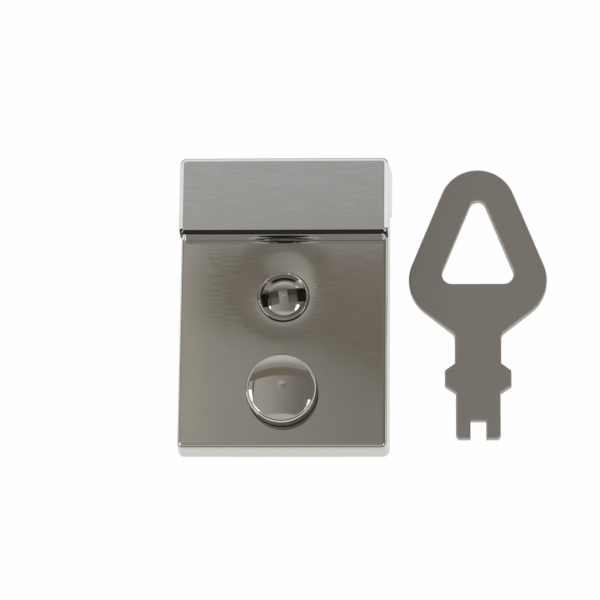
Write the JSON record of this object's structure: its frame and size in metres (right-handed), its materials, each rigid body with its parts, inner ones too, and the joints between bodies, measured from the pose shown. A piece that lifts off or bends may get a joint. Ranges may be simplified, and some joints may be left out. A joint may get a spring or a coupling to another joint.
{
  "type": "briefcase lock",
  "caption": "Push-button briefcase lock with lift-off hasp, quarter-turn key barrel, spring latch plate, pronged base, backing plate and flat key.",
  "frame": {"origin": "centre of the body shell's rear rim, the plane that lies on the case's leather", "axes": "+Z out of the lock's face, +Y towards the hasp, +X to the right seen from the front"},
  "size_m": [0.0555, 0.0453, 0.0131],
  "materials": {
    "bright_nickel": "polished",
    "nickel_plated_strip": "semi-bright",
    "zinc_plated_steel": "satin",
    "spring_steel": "drawn wire",
    "galvanised_sheet": "mottled, dull",
    "satin_nickel": "satin with bright cut edges"
  },
  "bodies": {
    "lock": {"barrel_sleeve": "bright_nickel", "base_plate": "zinc_plated_steel", "body_shell": "bright_nickel", "button_spring": "spring_steel", "guide_post": "nickel_plated_strip", "latch_guide_left": "zinc_plated_steel", "latch_guide_right": "zinc_plated_steel", "latch_spring_left": "spring_steel", "latch_spring_right": "spring_steel", "post_plate": "nickel_plated_strip", "spacer_post_lower_left": "zinc_plated_steel", "spacer_post_lower_right": "zinc_plated_steel", "spacer_post_upper_left": "zinc_plated_steel", "spacer_post_upper_right": "zinc_plated_steel"},
    "plug": {"key_plug": "bright_nickel", "lock_cam": "nickel_plated_strip"},
    "button": {"button_cap": "bright_nickel", "stop_ring": "nickel_plated_strip"},
    "latch": {"latch_plate": "zinc_plated_steel"},
    "hasp": {"hasp_cover": "bright_nickel", "hasp_staple": "nickel_plated_strip"},
    "backing": {"backing_plate": "galvanised_sheet"},
    "key": {"key": "satin_nickel"}
  },
  "joints": [
    {"name": "plug_turn", "type": "hinge", "parent": "lock", "child": "plug", "pos_m": [0, 0.0054, 0.0035], "axis": [0, 0, 1], "range_deg": [0, 90]},
    {"name": "button_press", "type": "slide", "parent": "lock", "child": "button", "axis": [0, 0, -1], "range_m": [-0.0006, 0.0009], "stiffness_N_per_m": 400, "deforming": ["button_spring"]},
    {"name": "latch_slide", "type": "slide", "parent": "lock", "child": "latch", "axis": [0, -1, 0], "range_m": [-0.0006, 0.0009], "deforming": ["latch_spring_left", "latch_spring_right"]},
    {"name": "hasp_lift", "type": "slide", "parent": "lock", "child": "hasp", "axis": [0, 0, 1], "range_m": [0, 0.01]},
    {"name": "backing_raise", "type": "slide", "parent": "lock", "child": "backing", "axis": [0, 0, 1], "range_m": [0, 0.0019]},
    {"name": "key_lift", "type": "slide", "parent": "lock", "child": "key", "axis": [0, 0, 1], "range_m": [0, 0.02]}
  ],
  "couplings": [
    {"joint": "latch_slide", "follows": "button_press", "ratio": 1}
  ]
}
